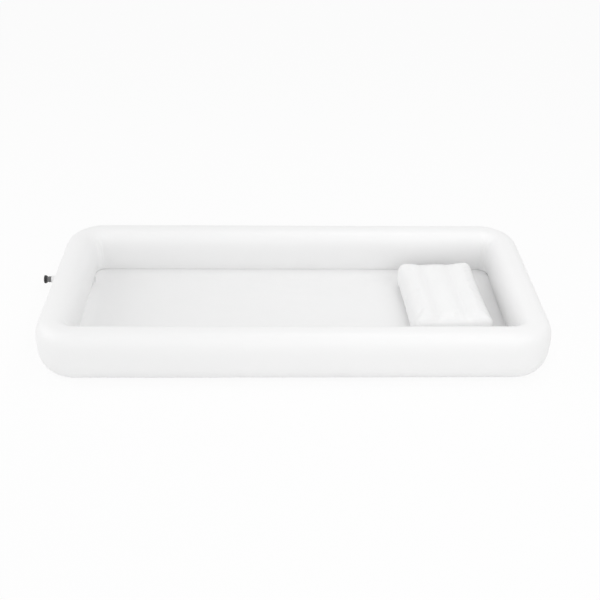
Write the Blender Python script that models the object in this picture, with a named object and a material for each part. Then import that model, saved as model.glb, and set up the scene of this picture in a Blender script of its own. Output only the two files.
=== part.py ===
"""Inflatable lay-flat bathtub, in metres with +Z up.

A rounded-rectangle air ring stands on the ground with a film floor welded under it. A screw-capped
drain leaves the foot end, an air valve sits in the back wall, and a loose three-lobed air pillow
lies at the head end. X runs along the tub towards the pillow and Y across it towards the back.
The origin is the centre of the ring's underside.
"""

import math

import bmesh
import bpy
from mathutils import Matrix, Vector

for old in list(bpy.data.objects):
    bpy.data.objects.remove(old, do_unlink=True)

# Air ring
TUB_LENGTH = 1.95
TUB_WIDTH = 0.90
TUB_HEIGHT = 0.20
RING_WIDTH = 0.13
OUTER_CORNER_RADIUS = 0.16
RING_FULLNESS = 2.65
SECTION_POINTS = 32
CORNER_STEPS = 8

# Floor film
FLOOR_FILM = 0.0006

# Fits that every piece shares
TOUCH_GAP = 0.0003
CUT_OVERRUN = 0.010
WELD_DISTANCE = 0.00001
ROUND_STEPS = 32
GRIP_STEPS = 48
SHARP_ANGLE = math.radians(35)

# Weld patches, which follow the ring's wall
PATCH_FILM = 0.0012
PATCH_RIM = 0.0105

# Drain, with its axis pointing out of the foot end
DRAIN_FROM_BASIN_SIDE = 0.111
DRAIN_HEIGHT = 0.045
SLEEVE_RADIUS = 0.0155
SLEEVE_WALL = 0.0020
SLEEVE_REACH = 0.053
NECK_WALL = 0.0022
NECK_SEATED_LENGTH = 0.024
BAND_RADIUS = 0.0131
BAND_WIDTH = 0.0036
BAND_SPACING = 0.0072
BAND_COUNT = 2
NECK_WAIST_RADIUS = 0.0119
SPIGOT_RADIUS = 0.0116
SPIGOT_LENGTH = 0.0115
CAP_GRIP_RADIUS = 0.0175
CAP_SKIRT_RADIUS = 0.0145
CAP_GRIP_LENGTH = 0.0070
CAP_TOP = 0.0021
CAP_EDGE_ROUND = 0.0012
CAP_ENGAGED = 0.0070
GRIP_COUNT = 16
GRIP_DEPTH = 0.0008
GASKET_FILM = 0.0015
GASKET_BORE_RADIUS = 0.0070

# Air valve, with its axis pointing out of the back wall
VALVE_X = 0.60
BASE_BORE_RADIUS = 0.0150
BASE_WALL = 0.0030
BASE_DEPTH = 0.022
BASE_LIP_RADIUS = 0.0220
BASE_LIP = 0.0026
BODY_WALL = 0.0030
BODY_DEPTH = 0.0195
BODY_HEAD_RADIUS = 0.0190
BODY_HEAD = 0.0030
SEAT_RADIUS = 0.0090
SEAT_LENGTH = 0.0025
BAR_WIDTH = 0.0016
SEAL_TUBE_RADIUS = 0.0010
SEAL_STEPS = 8
CAP_PLUG_LENGTH = 0.0050
CAP_PLUG_TAPER = 0.0006
CAP_HEAD = 0.0024
STRAP_WIDTH = 0.0100
STRAP_RING_WALL = 0.0030
STRAP_FILM = 0.0018
HINGE_REACH = 0.0030
FLAP_RADIUS = 0.0105
FLAP_FILM = 0.0010
FLAP_HINGE_REACH = 0.0015
FLAP_EAR_WIDTH = 0.0060
FLAP_SWING_ROOM = 0.016

# Pillow
PILLOW_WIDTH = 0.28
PILLOW_SIDE_ROOM = 0.095
PILLOW_HEIGHT = 0.127
PILLOW_SIDE_BULGE = 0.0225
PILLOW_END_BULGE = 0.010
PILLOW_HEAD_ROOM = 0.0655
PILLOW_Y = 0.017
PILLOW_TURN = math.radians(2.5)
PILLOW_ROUND = 0.030
LOBE_RISE = 0.008
LOBE_COUNT = 3
SIDE_PULL = 0.004
PILLOW_CELLS_X = 24
PILLOW_CELLS_Y = 14
PILLOW_CELLS_Z = 6

# Pillow valve, with its axis pointing out of the pillow's back end
STEM_HEIGHT = 0.052
STEM_RADIUS = 0.0045
STEM_WALL = 0.0014
STEM_REACH = 0.016
STEM_DEPTH = 0.012
STEM_FLANGE_RADIUS = 0.0085
STEM_FLANGE = 0.0010
STEM_STEPS = 20
PLUG_LENGTH = 0.0040
PLUG_TAPER = 0.0005
PLUG_HEAD_RADIUS = 0.0058
PLUG_HEAD = 0.0016
PLUG_STRAP_WIDTH = 0.0045
PLUG_STRAP_RING_WALL = 0.0016
PLUG_STRAP_FILM = 0.0014
PLUG_HINGE_REACH = 0.0016
STEM_FLAP_FILM = 0.0006
STEM_FLAP_HINGE_REACH = 0.0006
STEM_FLAP_EAR_WIDTH = 0.0024
STEM_FLAP_SWING_ROOM = 0.008

# Sizes that follow from the ones above
CENTRE_X = (TUB_LENGTH - RING_WIDTH) / 2
CENTRE_Y = (TUB_WIDTH - RING_WIDTH) / 2
CENTRE_RADIUS = OUTER_CORNER_RADIUS - RING_WIDTH / 2
CORNER_X = CENTRE_X - CENTRE_RADIUS
CORNER_Y = CENTRE_Y - CENTRE_RADIUS
RING_MIDDLE = TUB_HEIGHT / 2
BASIN_END = TUB_LENGTH / 2 - RING_WIDTH
BASIN_SIDE = TUB_WIDTH / 2 - RING_WIDTH
DRAIN_Y = BASIN_SIDE - DRAIN_FROM_BASIN_SIDE
PILLOW_LENGTH = 2 * (BASIN_SIDE - PILLOW_SIDE_ROOM)
PILLOW_X = BASIN_END - PILLOW_HEAD_ROOM - PILLOW_SIDE_BULGE - PILLOW_WIDTH / 2

WHITE_FILM = ((0.90, 0.90, 0.90), 0.32)
WHITE_MOULDED = ((0.86, 0.86, 0.86), 0.38)
GREY_MOULDED = ((0.36, 0.36, 0.37), 0.42)
BLACK_MOULDED = ((0.025, 0.025, 0.027), 0.45)
BLACK_RUBBER = ((0.03, 0.03, 0.03), 0.70)
CLEAR_VINYL = ((0.80, 0.83, 0.85), 0.25)


# Helpers for meshes and objects
def closed_loop(mesh, points):
    """Vertices at the points and the edges of the closed outline through them."""
    corners = [mesh.verts.new(point) for point in points]
    edges = [mesh.edges.new((corners[i - 1], corners[i])) for i in range(len(corners))]
    return corners + edges


def open_line(mesh, points):
    """Vertices at the points and the edges of the open line through them."""
    corners = [mesh.verts.new(point) for point in points]
    edges = [mesh.edges.new(pair) for pair in zip(corners, corners[1:])]
    return corners + edges


def of_kind(geometry, kind):
    return [item for item in geometry if isinstance(item, kind)]


def pulled(mesh, outline, step):
    """Extrude an outline's edges by a step, and give the new outline."""
    edges = of_kind(outline, bmesh.types.BMEdge)
    made = bmesh.ops.extrude_edge_only(mesh, edges=edges)["geom"]
    bmesh.ops.translate(mesh, verts=of_kind(made, bmesh.types.BMVert), vec=step)
    return of_kind(made, (bmesh.types.BMVert, bmesh.types.BMEdge))


def closed_up(mesh):
    """Merge doubled vertices and point every face outwards."""
    bmesh.ops.remove_doubles(mesh, verts=mesh.verts, dist=WELD_DISTANCE)
    bmesh.ops.recalc_face_normals(mesh, faces=mesh.faces)
    return mesh


def extruded(points, step):
    """Prism from a closed outline and the step to its other end."""
    mesh = bmesh.new()
    outline = closed_loop(mesh, points)
    face = mesh.faces.new(of_kind(outline, bmesh.types.BMVert))
    made = bmesh.ops.extrude_face_region(mesh, geom=[face])["geom"]
    bmesh.ops.translate(mesh, verts=of_kind(made, bmesh.types.BMVert), vec=step)
    return closed_up(mesh)


def turned(profile, steps=ROUND_STEPS):
    """Body of revolution about Z from (radius, height) points, open only where it meets the axis."""
    mesh = bmesh.new()
    points = [(radius, 0, height) for radius, height in profile]
    meets_axis = min(radius for radius, _ in profile) == 0
    line = open_line(mesh, points) if meets_axis else closed_loop(mesh, points)
    bmesh.ops.spin(
        mesh, geom=line, cent=(0, 0, 0), axis=(0, 0, 1), angle=2 * math.pi, steps=steps, use_merge=True
    )
    return closed_up(mesh)


def tube_profile(inner, outer, low, high):
    return [(inner, low), (outer, low), (outer, high), (inner, high)]


def rod_profile(radius, low, high):
    return [(0, low), (radius, low), (radius, high), (0, high)]


def box_mesh(low, high):
    """Box between two opposite corners."""
    mesh = bmesh.new()
    size = Vector(high) - Vector(low)
    middle = (Vector(high) + Vector(low)) / 2
    bmesh.ops.create_cube(mesh, size=1, matrix=Matrix.Translation(middle) @ Matrix.Diagonal((*size, 1)))
    return mesh


def material(name, look):
    """Principled material with the piece's own colour and roughness."""
    colour, roughness = look
    made = bpy.data.materials.new(name)
    made.use_nodes = True
    shader = made.node_tree.nodes["Principled BSDF"]
    shader.inputs["Base Color"].default_value = (*colour, 1)
    shader.inputs["Roughness"].default_value = roughness
    shader.inputs["Metallic"].default_value = 0
    return made


def piece(name, mesh, look, parent=None, pivot=(0, 0, 0)):
    """Object for one piece, with its origin at the pivot in its parent's frame."""
    bmesh.ops.translate(mesh, verts=mesh.verts, vec=-Vector(pivot))
    data = bpy.data.meshes.new(name)
    mesh.to_mesh(data)
    mesh.free()
    data.shade_smooth()
    data.set_sharp_from_angle(angle=SHARP_ANGLE)
    data.materials.append(material(name, look))
    made = bpy.data.objects.new(name, data)
    bpy.context.scene.collection.objects.link(made)
    made.parent = parent
    made.location = pivot
    return made


def cutter(name, mesh, parent=None):
    """Guide body that only shapes other pieces."""
    data = bpy.data.meshes.new(name)
    mesh.to_mesh(data)
    mesh.free()
    made = bpy.data.objects.new(name, data)
    bpy.context.scene.collection.objects.link(made)
    made.parent = parent
    made.hide_render = True
    made.display_type = "WIRE"
    return made


def shaped(target, operation, tool):
    """Cut a piece with a tool, join the tool to it, or keep what both share."""
    change = target.modifiers.new(tool.name, "BOOLEAN")
    change.operation = operation
    change.object = tool
    change.solver = "EXACT"


def axis_frame(name, place, outward, parent=None):
    """Empty whose Z is the outward axis and whose X points up."""
    up = Vector((0, 0, 1))
    outward = Vector(outward)
    side = outward.cross(up)
    turn = Matrix((up, side, outward)).transposed().to_4x4()
    made = bpy.data.objects.new(name, None)
    bpy.context.scene.collection.objects.link(made)
    made.parent = parent
    made.matrix_basis = Matrix.Translation(place) @ turn
    return made


# Air ring and floor
def superellipse(half_width, half_height):
    """The ring's section: a boxy oval with a short flat at each of its four extremes."""
    power = 2 / RING_FULLNESS
    half_step = math.pi / SECTION_POINTS
    reach = math.cos(half_step) ** power
    points = []
    for i in range(SECTION_POINTS):
        angle = (2 * i + 1) * half_step
        across = math.copysign(abs(math.cos(angle)) ** power, math.cos(angle))
        upward = math.copysign(abs(math.sin(angle)) ** power, math.sin(angle))
        points.append((half_width * across / reach, half_height * upward / reach))
    return points


def ring_section(outset=0.0):
    return superellipse(RING_WIDTH / 2 + outset, TUB_HEIGHT / 2 + outset)


def swept_ring():
    """The section swept along four straights and round four corners."""
    mesh = bmesh.new()
    start = Vector((CENTRE_X, -CORNER_Y, RING_MIDDLE))
    outline = closed_loop(mesh, [start + Vector((x, 0, z)) for x, z in ring_section()])
    sides = (
        (Vector((0, 2 * CORNER_Y, 0)), Vector((CORNER_X, CORNER_Y, 0))),
        (Vector((-2 * CORNER_X, 0, 0)), Vector((-CORNER_X, CORNER_Y, 0))),
        (Vector((0, -2 * CORNER_Y, 0)), Vector((-CORNER_X, -CORNER_Y, 0))),
        (Vector((2 * CORNER_X, 0, 0)), Vector((CORNER_X, -CORNER_Y, 0))),
    )
    for straight, corner in sides:
        outline = pulled(mesh, outline, straight)
        outline = bmesh.ops.spin(
            mesh, geom=outline, cent=corner, axis=(0, 0, 1), angle=math.pi / 2, steps=CORNER_STEPS
        )["geom_last"]
    return closed_up(mesh)


def underside_reach(height):
    """How far from the ring's centre line its underside is at this height above the ground."""
    lower = sorted((z + RING_MIDDLE, x) for x, z in ring_section() if x > 0 and z < 0)
    for (low, near), (high, far) in zip(lower, lower[1:]):
        if low <= height <= high:
            return near + (far - near) * (height - low) / (high - low)
    return lower[-1][1]


def floor_plate():
    """Film with round corners, as far under the ring as it can lie flat."""
    reach = underside_reach(FLOOR_FILM + TOUCH_GAP)
    length = 2 * (CENTRE_X - reach)
    width = 2 * (CENTRE_Y - reach)
    mesh = bmesh.new()
    flat = Matrix.Diagonal((length, width, 1, 1))
    bmesh.ops.create_grid(mesh, x_segments=1, y_segments=1, size=1 / 2, matrix=flat)
    bmesh.ops.bevel(
        mesh,
        geom=mesh.verts[:],
        offset=CENTRE_RADIUS - reach,
        segments=CORNER_STEPS,
        profile=0.5,
        affect="VERTICES",
    )
    made = bmesh.ops.extrude_face_region(mesh, geom=mesh.faces[:])["geom"]
    bmesh.ops.translate(mesh, verts=of_kind(made, bmesh.types.BMVert), vec=(0, 0, FLOOR_FILM))
    return closed_up(mesh)


def wall_prism(name, outset, centre, along, length):
    """Straight stretch of the ring's section, grown by an outset, for shaping what lies on the wall."""
    along = Vector(along)
    across = along.cross(Vector((0, 0, 1)))
    start = Vector(centre) - along * length / 2
    points = [start + across * x + Vector((0, 0, z)) for x, z in ring_section(outset)]
    return cutter(name, extruded(points, along * length))


def weld_patch(name, frame, bore_radius, centre, along):
    """Ring of film welded on the wall round a bore, as thick as its film and curved like the wall."""
    radius = bore_radius + PATCH_RIM
    disc = turned(tube_profile(bore_radius + TOUCH_GAP, radius, -RING_WIDTH / 2, CUT_OVERRUN))
    patch = piece(name, disc, WHITE_FILM, frame)
    length = 2 * radius + 2 * CUT_OVERRUN
    outer = wall_prism(name + "_outer_guide", TOUCH_GAP + PATCH_FILM, centre, along, length)
    inner = wall_prism(name + "_inner_guide", TOUCH_GAP, centre, along, length)
    shaped(patch, "INTERSECT", outer)
    shaped(patch, "DIFFERENCE", inner)
    return patch


# Drain
def neck_profile():
    """Spout tube: seated in the sleeve, then raised bands, then the threaded spigot."""
    bore = SLEEVE_RADIUS - SLEEVE_WALL - TOUCH_GAP - NECK_WALL
    seated = bore + NECK_WALL
    start = SLEEVE_REACH - NECK_SEATED_LENGTH
    points = [(bore, start), (seated, start), (seated, SLEEVE_REACH)]
    for i in range(BAND_COUNT):
        low = SLEEVE_REACH + TOUCH_GAP + BAND_SPACING * i
        points += [(NECK_WAIST_RADIUS, low), (BAND_RADIUS, low), (BAND_RADIUS, low + BAND_WIDTH)]
        points += [(NECK_WAIST_RADIUS, low + BAND_WIDTH)]
    shoulder = SLEEVE_REACH + BAND_SPACING * BAND_COUNT
    end = shoulder + SPIGOT_LENGTH
    points += [(NECK_WAIST_RADIUS, shoulder), (SPIGOT_RADIUS, shoulder), (SPIGOT_RADIUS, end), (bore, end)]
    return points, end


def scalloped(mesh, over_radius):
    """Press finger grips into everything that lies further out than a radius."""
    for corner in mesh.verts:
        radius = corner.co.xy.length
        if radius > over_radius:
            angle = math.atan2(corner.co.y, corner.co.x)
            press = GRIP_DEPTH * (1 - math.cos(GRIP_COUNT * angle)) / 2
            corner.co.xy *= (radius - press) / radius
    return mesh


def cap_profile(neck_end):
    """Screw cap: a skirt over the spigot and a wide grip with rounded edges."""
    bore = SPIGOT_RADIUS + TOUCH_GAP
    mouth = neck_end - CAP_ENGAGED
    ceiling = neck_end + GASKET_FILM + 2 * TOUCH_GAP
    top = ceiling + CAP_TOP
    grip = top - CAP_GRIP_LENGTH
    edge = CAP_GRIP_RADIUS - CAP_EDGE_ROUND
    return [
        (0, ceiling),
        (bore, ceiling),
        (bore, mouth),
        (CAP_SKIRT_RADIUS, mouth),
        (CAP_SKIRT_RADIUS, grip),
        (edge, grip),
        (CAP_GRIP_RADIUS, grip + CAP_EDGE_ROUND),
        (CAP_GRIP_RADIUS, top - CAP_EDGE_ROUND),
        (edge, top),
        (0, top),
    ]


def build_drain(ring):
    """Sleeve through the ring, its weld patches, the neck, the gasket and the screw cap."""
    outer_wall = Vector((-TUB_LENGTH / 2, DRAIN_Y, DRAIN_HEIGHT))
    inner_wall = outer_wall + Vector((RING_WIDTH, 0, 0))
    centre = (-CENTRE_X, DRAIN_Y, RING_MIDDLE)
    frame = axis_frame("drain_axis", outer_wall, (-1, 0, 0))
    basin_frame = axis_frame("basin_drain_axis", inner_wall, (1, 0, 0))

    bore = rod_profile(SLEEVE_RADIUS + TOUCH_GAP, -RING_WIDTH - CUT_OVERRUN, CUT_OVERRUN)
    shaped(ring, "DIFFERENCE", cutter("drain_bore_guide", turned(bore), frame))

    sleeve = tube_profile(SLEEVE_RADIUS - SLEEVE_WALL, SLEEVE_RADIUS, -RING_WIDTH, SLEEVE_REACH)
    piece("drain_sleeve", turned(sleeve), WHITE_FILM, frame)
    weld_patch("drain_outer_patch", frame, SLEEVE_RADIUS, centre, (0, 1, 0))
    weld_patch("drain_inner_patch", basin_frame, SLEEVE_RADIUS, centre, (0, 1, 0))

    neck, neck_end = neck_profile()
    piece("drain_neck", turned(neck), GREY_MOULDED, frame)
    low = neck_end + TOUCH_GAP
    gasket = tube_profile(GASKET_BORE_RADIUS, SPIGOT_RADIUS, low, low + GASKET_FILM)
    piece("drain_gasket", turned(gasket), BLACK_RUBBER, frame)
    cap = scalloped(turned(cap_profile(neck_end), GRIP_STEPS), CAP_SKIRT_RADIUS + TOUCH_GAP)
    piece("drain_cap", cap, BLACK_MOULDED, frame)


# Parts that the air valve and the pillow valve share
def strap_ring(name, frame, bore_radius, wall, film, face, hinge_x, width, look, steps):
    """Ring that grips the valve below its face, with a tab out to the stopper's living hinge."""
    outer = bore_radius + wall
    band = tube_profile(bore_radius, outer, face - film, face)
    made = piece(name, turned(band, steps), look, frame)
    root = bore_radius + wall / 2
    tab = box_mesh((root, -width / 2, face - film), (hinge_x - TOUCH_GAP, width / 2, face))
    shaped(made, "UNION", cutter(name + "_tab_guide", tab, frame))
    return made


def stopper(
    name, frame, plug_radius, taper, plug_length, head_radius, head, face, hinge_x, width, look, steps
):
    """Stopper with a tapered plug, a flat head and an ear that ends at its living hinge."""
    under = face + TOUCH_GAP
    profile = [
        (0, under - plug_length),
        (plug_radius - taper, under - plug_length),
        (plug_radius, under),
        (head_radius, under),
        (head_radius, under + head),
        (0, under + head),
    ]
    pivot = Vector((hinge_x, 0, face))
    made = piece(name, turned(profile, steps), look, frame, pivot)
    ear = box_mesh((head_radius - head, -width / 2, under), (hinge_x - TOUCH_GAP, width / 2, under + head))
    shaped(made, "UNION", cutter(name + "_ear_guide", ear, frame))
    return made


def flap(name, frame, radius, film, face, hinge_reach, width, look, steps):
    """One-way flap lying on the inner end of a valve, with an ear up to its hinge line."""
    top = face - TOUCH_GAP
    hinge_x = radius + hinge_reach
    made = piece(name, turned(rod_profile(radius, top - film, top), steps), look, frame, (hinge_x, 0, top))
    ear = box_mesh((radius - 2 * hinge_reach, -width / 2, top - film), (hinge_x, width / 2, top))
    shaped(made, "UNION", cutter(name + "_ear_guide", ear, frame))
    return made


# Air valve
def build_air_valve(ring):
    """Welded socket, screw-in insert with its cross-bars, seal, one-way flap, strap and stopper cap."""
    wall = (VALVE_X, TUB_WIDTH / 2, RING_MIDDLE)
    frame = axis_frame("air_valve_axis", wall, (0, 1, 0))
    base_radius = BASE_BORE_RADIUS + BASE_WALL

    pocket = rod_profile(base_radius + TOUCH_GAP, -BASE_DEPTH - FLAP_SWING_ROOM, CUT_OVERRUN)
    shaped(ring, "DIFFERENCE", cutter("air_valve_pocket_guide", turned(pocket), frame))
    weld_patch("inflation_patch", frame, base_radius, (VALVE_X, CENTRE_Y, RING_MIDDLE), (1, 0, 0))

    lip = PATCH_FILM + 2 * TOUCH_GAP
    rim = lip + BASE_LIP
    base = [
        (BASE_BORE_RADIUS, -BASE_DEPTH),
        (base_radius, -BASE_DEPTH),
        (base_radius, lip),
        (BASE_LIP_RADIUS, lip),
        (BASE_LIP_RADIUS, rim),
        (BASE_BORE_RADIUS, rim),
    ]
    piece("inflation_base", turned(base), WHITE_MOULDED, frame)

    outer = BASE_BORE_RADIUS - TOUCH_GAP
    inner = outer - BODY_WALL
    under = rim + 2 * SEAL_TUBE_RADIUS + 2 * TOUCH_GAP
    face = under + BODY_HEAD
    body = [
        (SEAT_RADIUS, -BODY_DEPTH),
        (outer, -BODY_DEPTH),
        (outer, under),
        (BODY_HEAD_RADIUS, under),
        (BODY_HEAD_RADIUS, face),
        (inner, face),
        (inner, SEAT_LENGTH - BODY_DEPTH),
        (SEAT_RADIUS, SEAT_LENGTH - BODY_DEPTH),
    ]
    insert = piece("inflation_body", turned(body), WHITE_MOULDED, frame)
    half_bar = BAR_WIDTH / 2
    reach = SEAT_RADIUS + BAR_WIDTH
    floor = -BODY_DEPTH
    for name, x, y in (("upright_bar", half_bar, reach), ("level_bar", reach, half_bar)):
        bar = box_mesh((-x, -y, floor), (x, y, floor + BAR_WIDTH))
        shaped(insert, "UNION", cutter(name + "_guide", bar, frame))

    seal_centre = outer + 2 * SEAL_TUBE_RADIUS
    seal = []
    for i in range(SEAL_STEPS):
        angle = 2 * math.pi * i / SEAL_STEPS
        across = SEAL_TUBE_RADIUS * math.cos(angle)
        upward = SEAL_TUBE_RADIUS * math.sin(angle)
        seal.append((seal_centre + across, rim + TOUCH_GAP + SEAL_TUBE_RADIUS + upward))
    piece("inflation_seal", turned(seal), BLACK_RUBBER, frame)

    strap_bore = BODY_HEAD_RADIUS + TOUCH_GAP
    hinge_x = strap_bore + STRAP_RING_WALL + HINGE_REACH
    strap_ring(
        "inflation_strap", frame, strap_bore, STRAP_RING_WALL, STRAP_FILM,
        face, hinge_x, STRAP_WIDTH, WHITE_MOULDED, ROUND_STEPS,
    )
    stopper(
        "inflation_cap", frame, inner - TOUCH_GAP, CAP_PLUG_TAPER, CAP_PLUG_LENGTH,
        BODY_HEAD_RADIUS, CAP_HEAD, face, hinge_x, STRAP_WIDTH, WHITE_MOULDED, ROUND_STEPS,
    )
    flap(
        "inflation_flap", frame, FLAP_RADIUS, FLAP_FILM, -BODY_DEPTH,
        FLAP_HINGE_REACH, FLAP_EAR_WIDTH, CLEAR_VINYL, ROUND_STEPS,
    )


# Pillow
def rounded(place, half, radius):
    """Push a point of a box's surface onto the same box with round edges."""
    core = Vector([max(-(h - radius), min(h - radius, c)) for c, h in zip(place, half)])
    out = place - core
    if out.length == 0:
        return place
    return core + out.normalized() * radius


def lobe_crown(x, half_width):
    """Height share of the lobes' arches: 1 on each crest, 0 in each channel and at both sides."""
    return abs(math.sin(math.pi * LOBE_COUNT * (x + half_width) / (2 * half_width)))


def cushion_mesh():
    """Box of even cells pushed into a round-edged cushion with arched lobes and drawn-in sides."""
    half = Vector((PILLOW_WIDTH, PILLOW_LENGTH, PILLOW_HEIGHT - LOBE_RISE)) / 2
    half += Vector((PILLOW_SIDE_BULGE, PILLOW_END_BULGE, 0))
    mesh = bmesh.new()
    bmesh.ops.create_grid(
        mesh,
        x_segments=PILLOW_CELLS_X,
        y_segments=PILLOW_CELLS_Y,
        size=1,
        matrix=Matrix.Translation((0, 0, -half.z)) @ Matrix.Diagonal((half.x, half.y, 1, 1)),
    )
    made = bmesh.ops.extrude_face_region(mesh, geom=mesh.faces[:])["geom"]
    bmesh.ops.translate(mesh, verts=of_kind(made, bmesh.types.BMVert), vec=(0, 0, 2 * half.z))
    upright = [e for e in mesh.edges if abs(e.verts[0].co.z - e.verts[1].co.z) > half.z]
    bmesh.ops.subdivide_edges(mesh, edges=upright, cuts=PILLOW_CELLS_Z - 1, use_grid_fill=True)
    for corner in mesh.verts:
        flat = corner.co.copy()
        corner.co = rounded(flat, half, PILLOW_ROUND)
        upper = max(0, flat.z / half.z)
        along = corner.co.y / half.y
        corner.co.z += LOBE_RISE * lobe_crown(corner.co.x, half.x) * upper * (1 - along**4)
        corner.co.x -= math.copysign(SIDE_PULL, flat.x) * (flat.x / half.x) ** 2 * (1 - along**2)
    bmesh.ops.translate(mesh, verts=mesh.verts, vec=(0, 0, half.z))
    return closed_up(mesh)


def build_pillow():
    """Cushion lying on the floor film, with its stem valve, flap, strap and plug at its back end."""
    rest = FLOOR_FILM + TOUCH_GAP
    centre = bpy.data.objects.new("pillow_frame", None)
    bpy.context.scene.collection.objects.link(centre)
    place = Matrix.Translation((PILLOW_X, PILLOW_Y, rest))
    centre.matrix_basis = place @ Matrix.Rotation(PILLOW_TURN, 4, "Z")
    cushion = piece("pillow_cushion", cushion_mesh(), WHITE_FILM, centre)

    end = PILLOW_LENGTH / 2 + PILLOW_END_BULGE
    frame = axis_frame("pillow_valve_axis", (0, end, STEM_HEIGHT), (0, 1, 0), centre)
    pocket = rod_profile(STEM_RADIUS + TOUCH_GAP, -STEM_DEPTH - STEM_FLAP_SWING_ROOM, CUT_OVERRUN)
    shaped(cushion, "DIFFERENCE", cutter("stem_pocket_guide", turned(pocket, STEM_STEPS), frame))

    bore = STEM_RADIUS - STEM_WALL
    low = TOUCH_GAP
    stem = [
        (bore, -STEM_DEPTH),
        (STEM_RADIUS, -STEM_DEPTH),
        (STEM_RADIUS, low),
        (STEM_FLANGE_RADIUS, low),
        (STEM_FLANGE_RADIUS, low + STEM_FLANGE),
        (STEM_RADIUS, low + STEM_FLANGE),
        (STEM_RADIUS, STEM_REACH),
        (bore, STEM_REACH),
    ]
    piece("pillow_stem", turned(stem, STEM_STEPS), CLEAR_VINYL, frame)

    strap_bore = STEM_RADIUS + TOUCH_GAP
    hinge_x = strap_bore + PLUG_STRAP_RING_WALL + PLUG_HINGE_REACH
    strap_ring(
        "pillow_strap", frame, strap_bore, PLUG_STRAP_RING_WALL, PLUG_STRAP_FILM,
        STEM_REACH, hinge_x, PLUG_STRAP_WIDTH, CLEAR_VINYL, STEM_STEPS,
    )
    stopper(
        "pillow_plug", frame, bore - TOUCH_GAP, PLUG_TAPER, PLUG_LENGTH,
        PLUG_HEAD_RADIUS, PLUG_HEAD, STEM_REACH, hinge_x, PLUG_STRAP_WIDTH, CLEAR_VINYL, STEM_STEPS,
    )
    flap(
        "pillow_flap", frame, bore + STEM_WALL / 4, STEM_FLAP_FILM, -STEM_DEPTH,
        STEM_FLAP_HINGE_REACH, STEM_FLAP_EAR_WIDTH, CLEAR_VINYL, STEM_STEPS,
    )


# Assembly
side_ring = piece("side_ring", swept_ring(), WHITE_FILM)
piece("floor_sheet", floor_plate(), WHITE_FILM)
build_drain(side_ring)
build_air_valve(side_ring)
build_pillow()
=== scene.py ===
# %% [markdown]
# The tub is already modelled at its real size. Its pieces come in here as a fixed frame: everything
# below is placed around them in metres, with X along the tub, Y across it and Z up. Blender's job is
# the look: the taut film, the blown-up pillow, the screw threads and the light. The frame's pieces
# are kept, so that their boxes can be read below.

# %% Load the frame
import math

import bmesh
import bpy
from mathutils import Matrix, Vector, noise


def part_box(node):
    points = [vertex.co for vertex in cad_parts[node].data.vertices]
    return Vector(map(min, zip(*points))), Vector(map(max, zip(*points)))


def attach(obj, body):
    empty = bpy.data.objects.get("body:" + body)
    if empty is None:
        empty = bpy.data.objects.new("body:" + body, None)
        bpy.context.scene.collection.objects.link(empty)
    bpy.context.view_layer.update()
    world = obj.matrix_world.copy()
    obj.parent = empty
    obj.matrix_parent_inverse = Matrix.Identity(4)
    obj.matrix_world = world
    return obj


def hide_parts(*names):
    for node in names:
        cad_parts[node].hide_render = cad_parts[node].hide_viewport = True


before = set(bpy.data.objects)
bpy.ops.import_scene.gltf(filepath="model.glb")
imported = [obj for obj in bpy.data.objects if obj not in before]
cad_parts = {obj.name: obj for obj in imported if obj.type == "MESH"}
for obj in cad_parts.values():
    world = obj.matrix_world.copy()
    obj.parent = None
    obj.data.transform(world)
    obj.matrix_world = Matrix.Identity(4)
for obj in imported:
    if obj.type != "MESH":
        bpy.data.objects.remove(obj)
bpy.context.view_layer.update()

# %% [markdown]
# The camera stands in front of the tub and well above it, aimed a little to the right. Its place,
# aim and lens were worked out from the outline of the ring in the photograph: a 55 mm lens on a
# 36 mm sensor, 3.1 m in front of the tub's middle and 2.1 m up. A camera looks along its own -Z, so
# the rotation is built from three directions: right, up and backwards.

# %% Camera
CAMERA_PLACE = Vector((-0.0723, -3.1259, 2.1412))
CAMERA_PITCH = 0.5832
CAMERA_YAW = 0.0314
CAMERA_ROLL = 0.0182
LENS_MM = 54.99
SENSOR_MM = 36.0


def photo_camera():
    """Camera at the photograph's place, with its tilt, turn and roll in radians."""
    ahead = Vector((
        math.sin(CAMERA_YAW) * math.cos(CAMERA_PITCH),
        math.cos(CAMERA_YAW) * math.cos(CAMERA_PITCH),
        -math.sin(CAMERA_PITCH),
    ))
    level = Vector((math.cos(CAMERA_YAW), -math.sin(CAMERA_YAW), 0))
    upward = level.cross(ahead)
    right = math.cos(CAMERA_ROLL) * level + math.sin(CAMERA_ROLL) * upward
    up = -math.sin(CAMERA_ROLL) * level + math.cos(CAMERA_ROLL) * upward
    data = bpy.data.cameras.new("photo_camera")
    data.lens = LENS_MM
    data.sensor_width = SENSOR_MM
    made = bpy.data.objects.new("photo_camera", data)
    turn = Matrix((right, up, -ahead)).transposed().to_4x4()
    made.matrix_world = Matrix.Translation(CAMERA_PLACE) @ turn
    bpy.context.scene.collection.objects.link(made)
    return made


bpy.context.scene.camera = photo_camera()
print("camera at", tuple(round(v, 2) for v in CAMERA_PLACE))

# %% [markdown]
# White film on a white ground shows its form only through soft shade. The world lights everything
# evenly and the ground sends light back up under the ring. Four soft lamps shape it: a key high on
# the right that makes that side a touch brighter, a weaker one low in front for the front wall, one
# low on the left for the walls that face away from the key, and one above the head end that reaches
# down beside the pillow. Their strengths were set by comparing each lamp's share of the light with
# the photograph's levels, and are low enough that the tub's crest doesn't clip to white. Camera,
# mirror and glass rays see the world at strength 1, which is plain white, so the backdrop needs no
# extra light on the tub.

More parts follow.
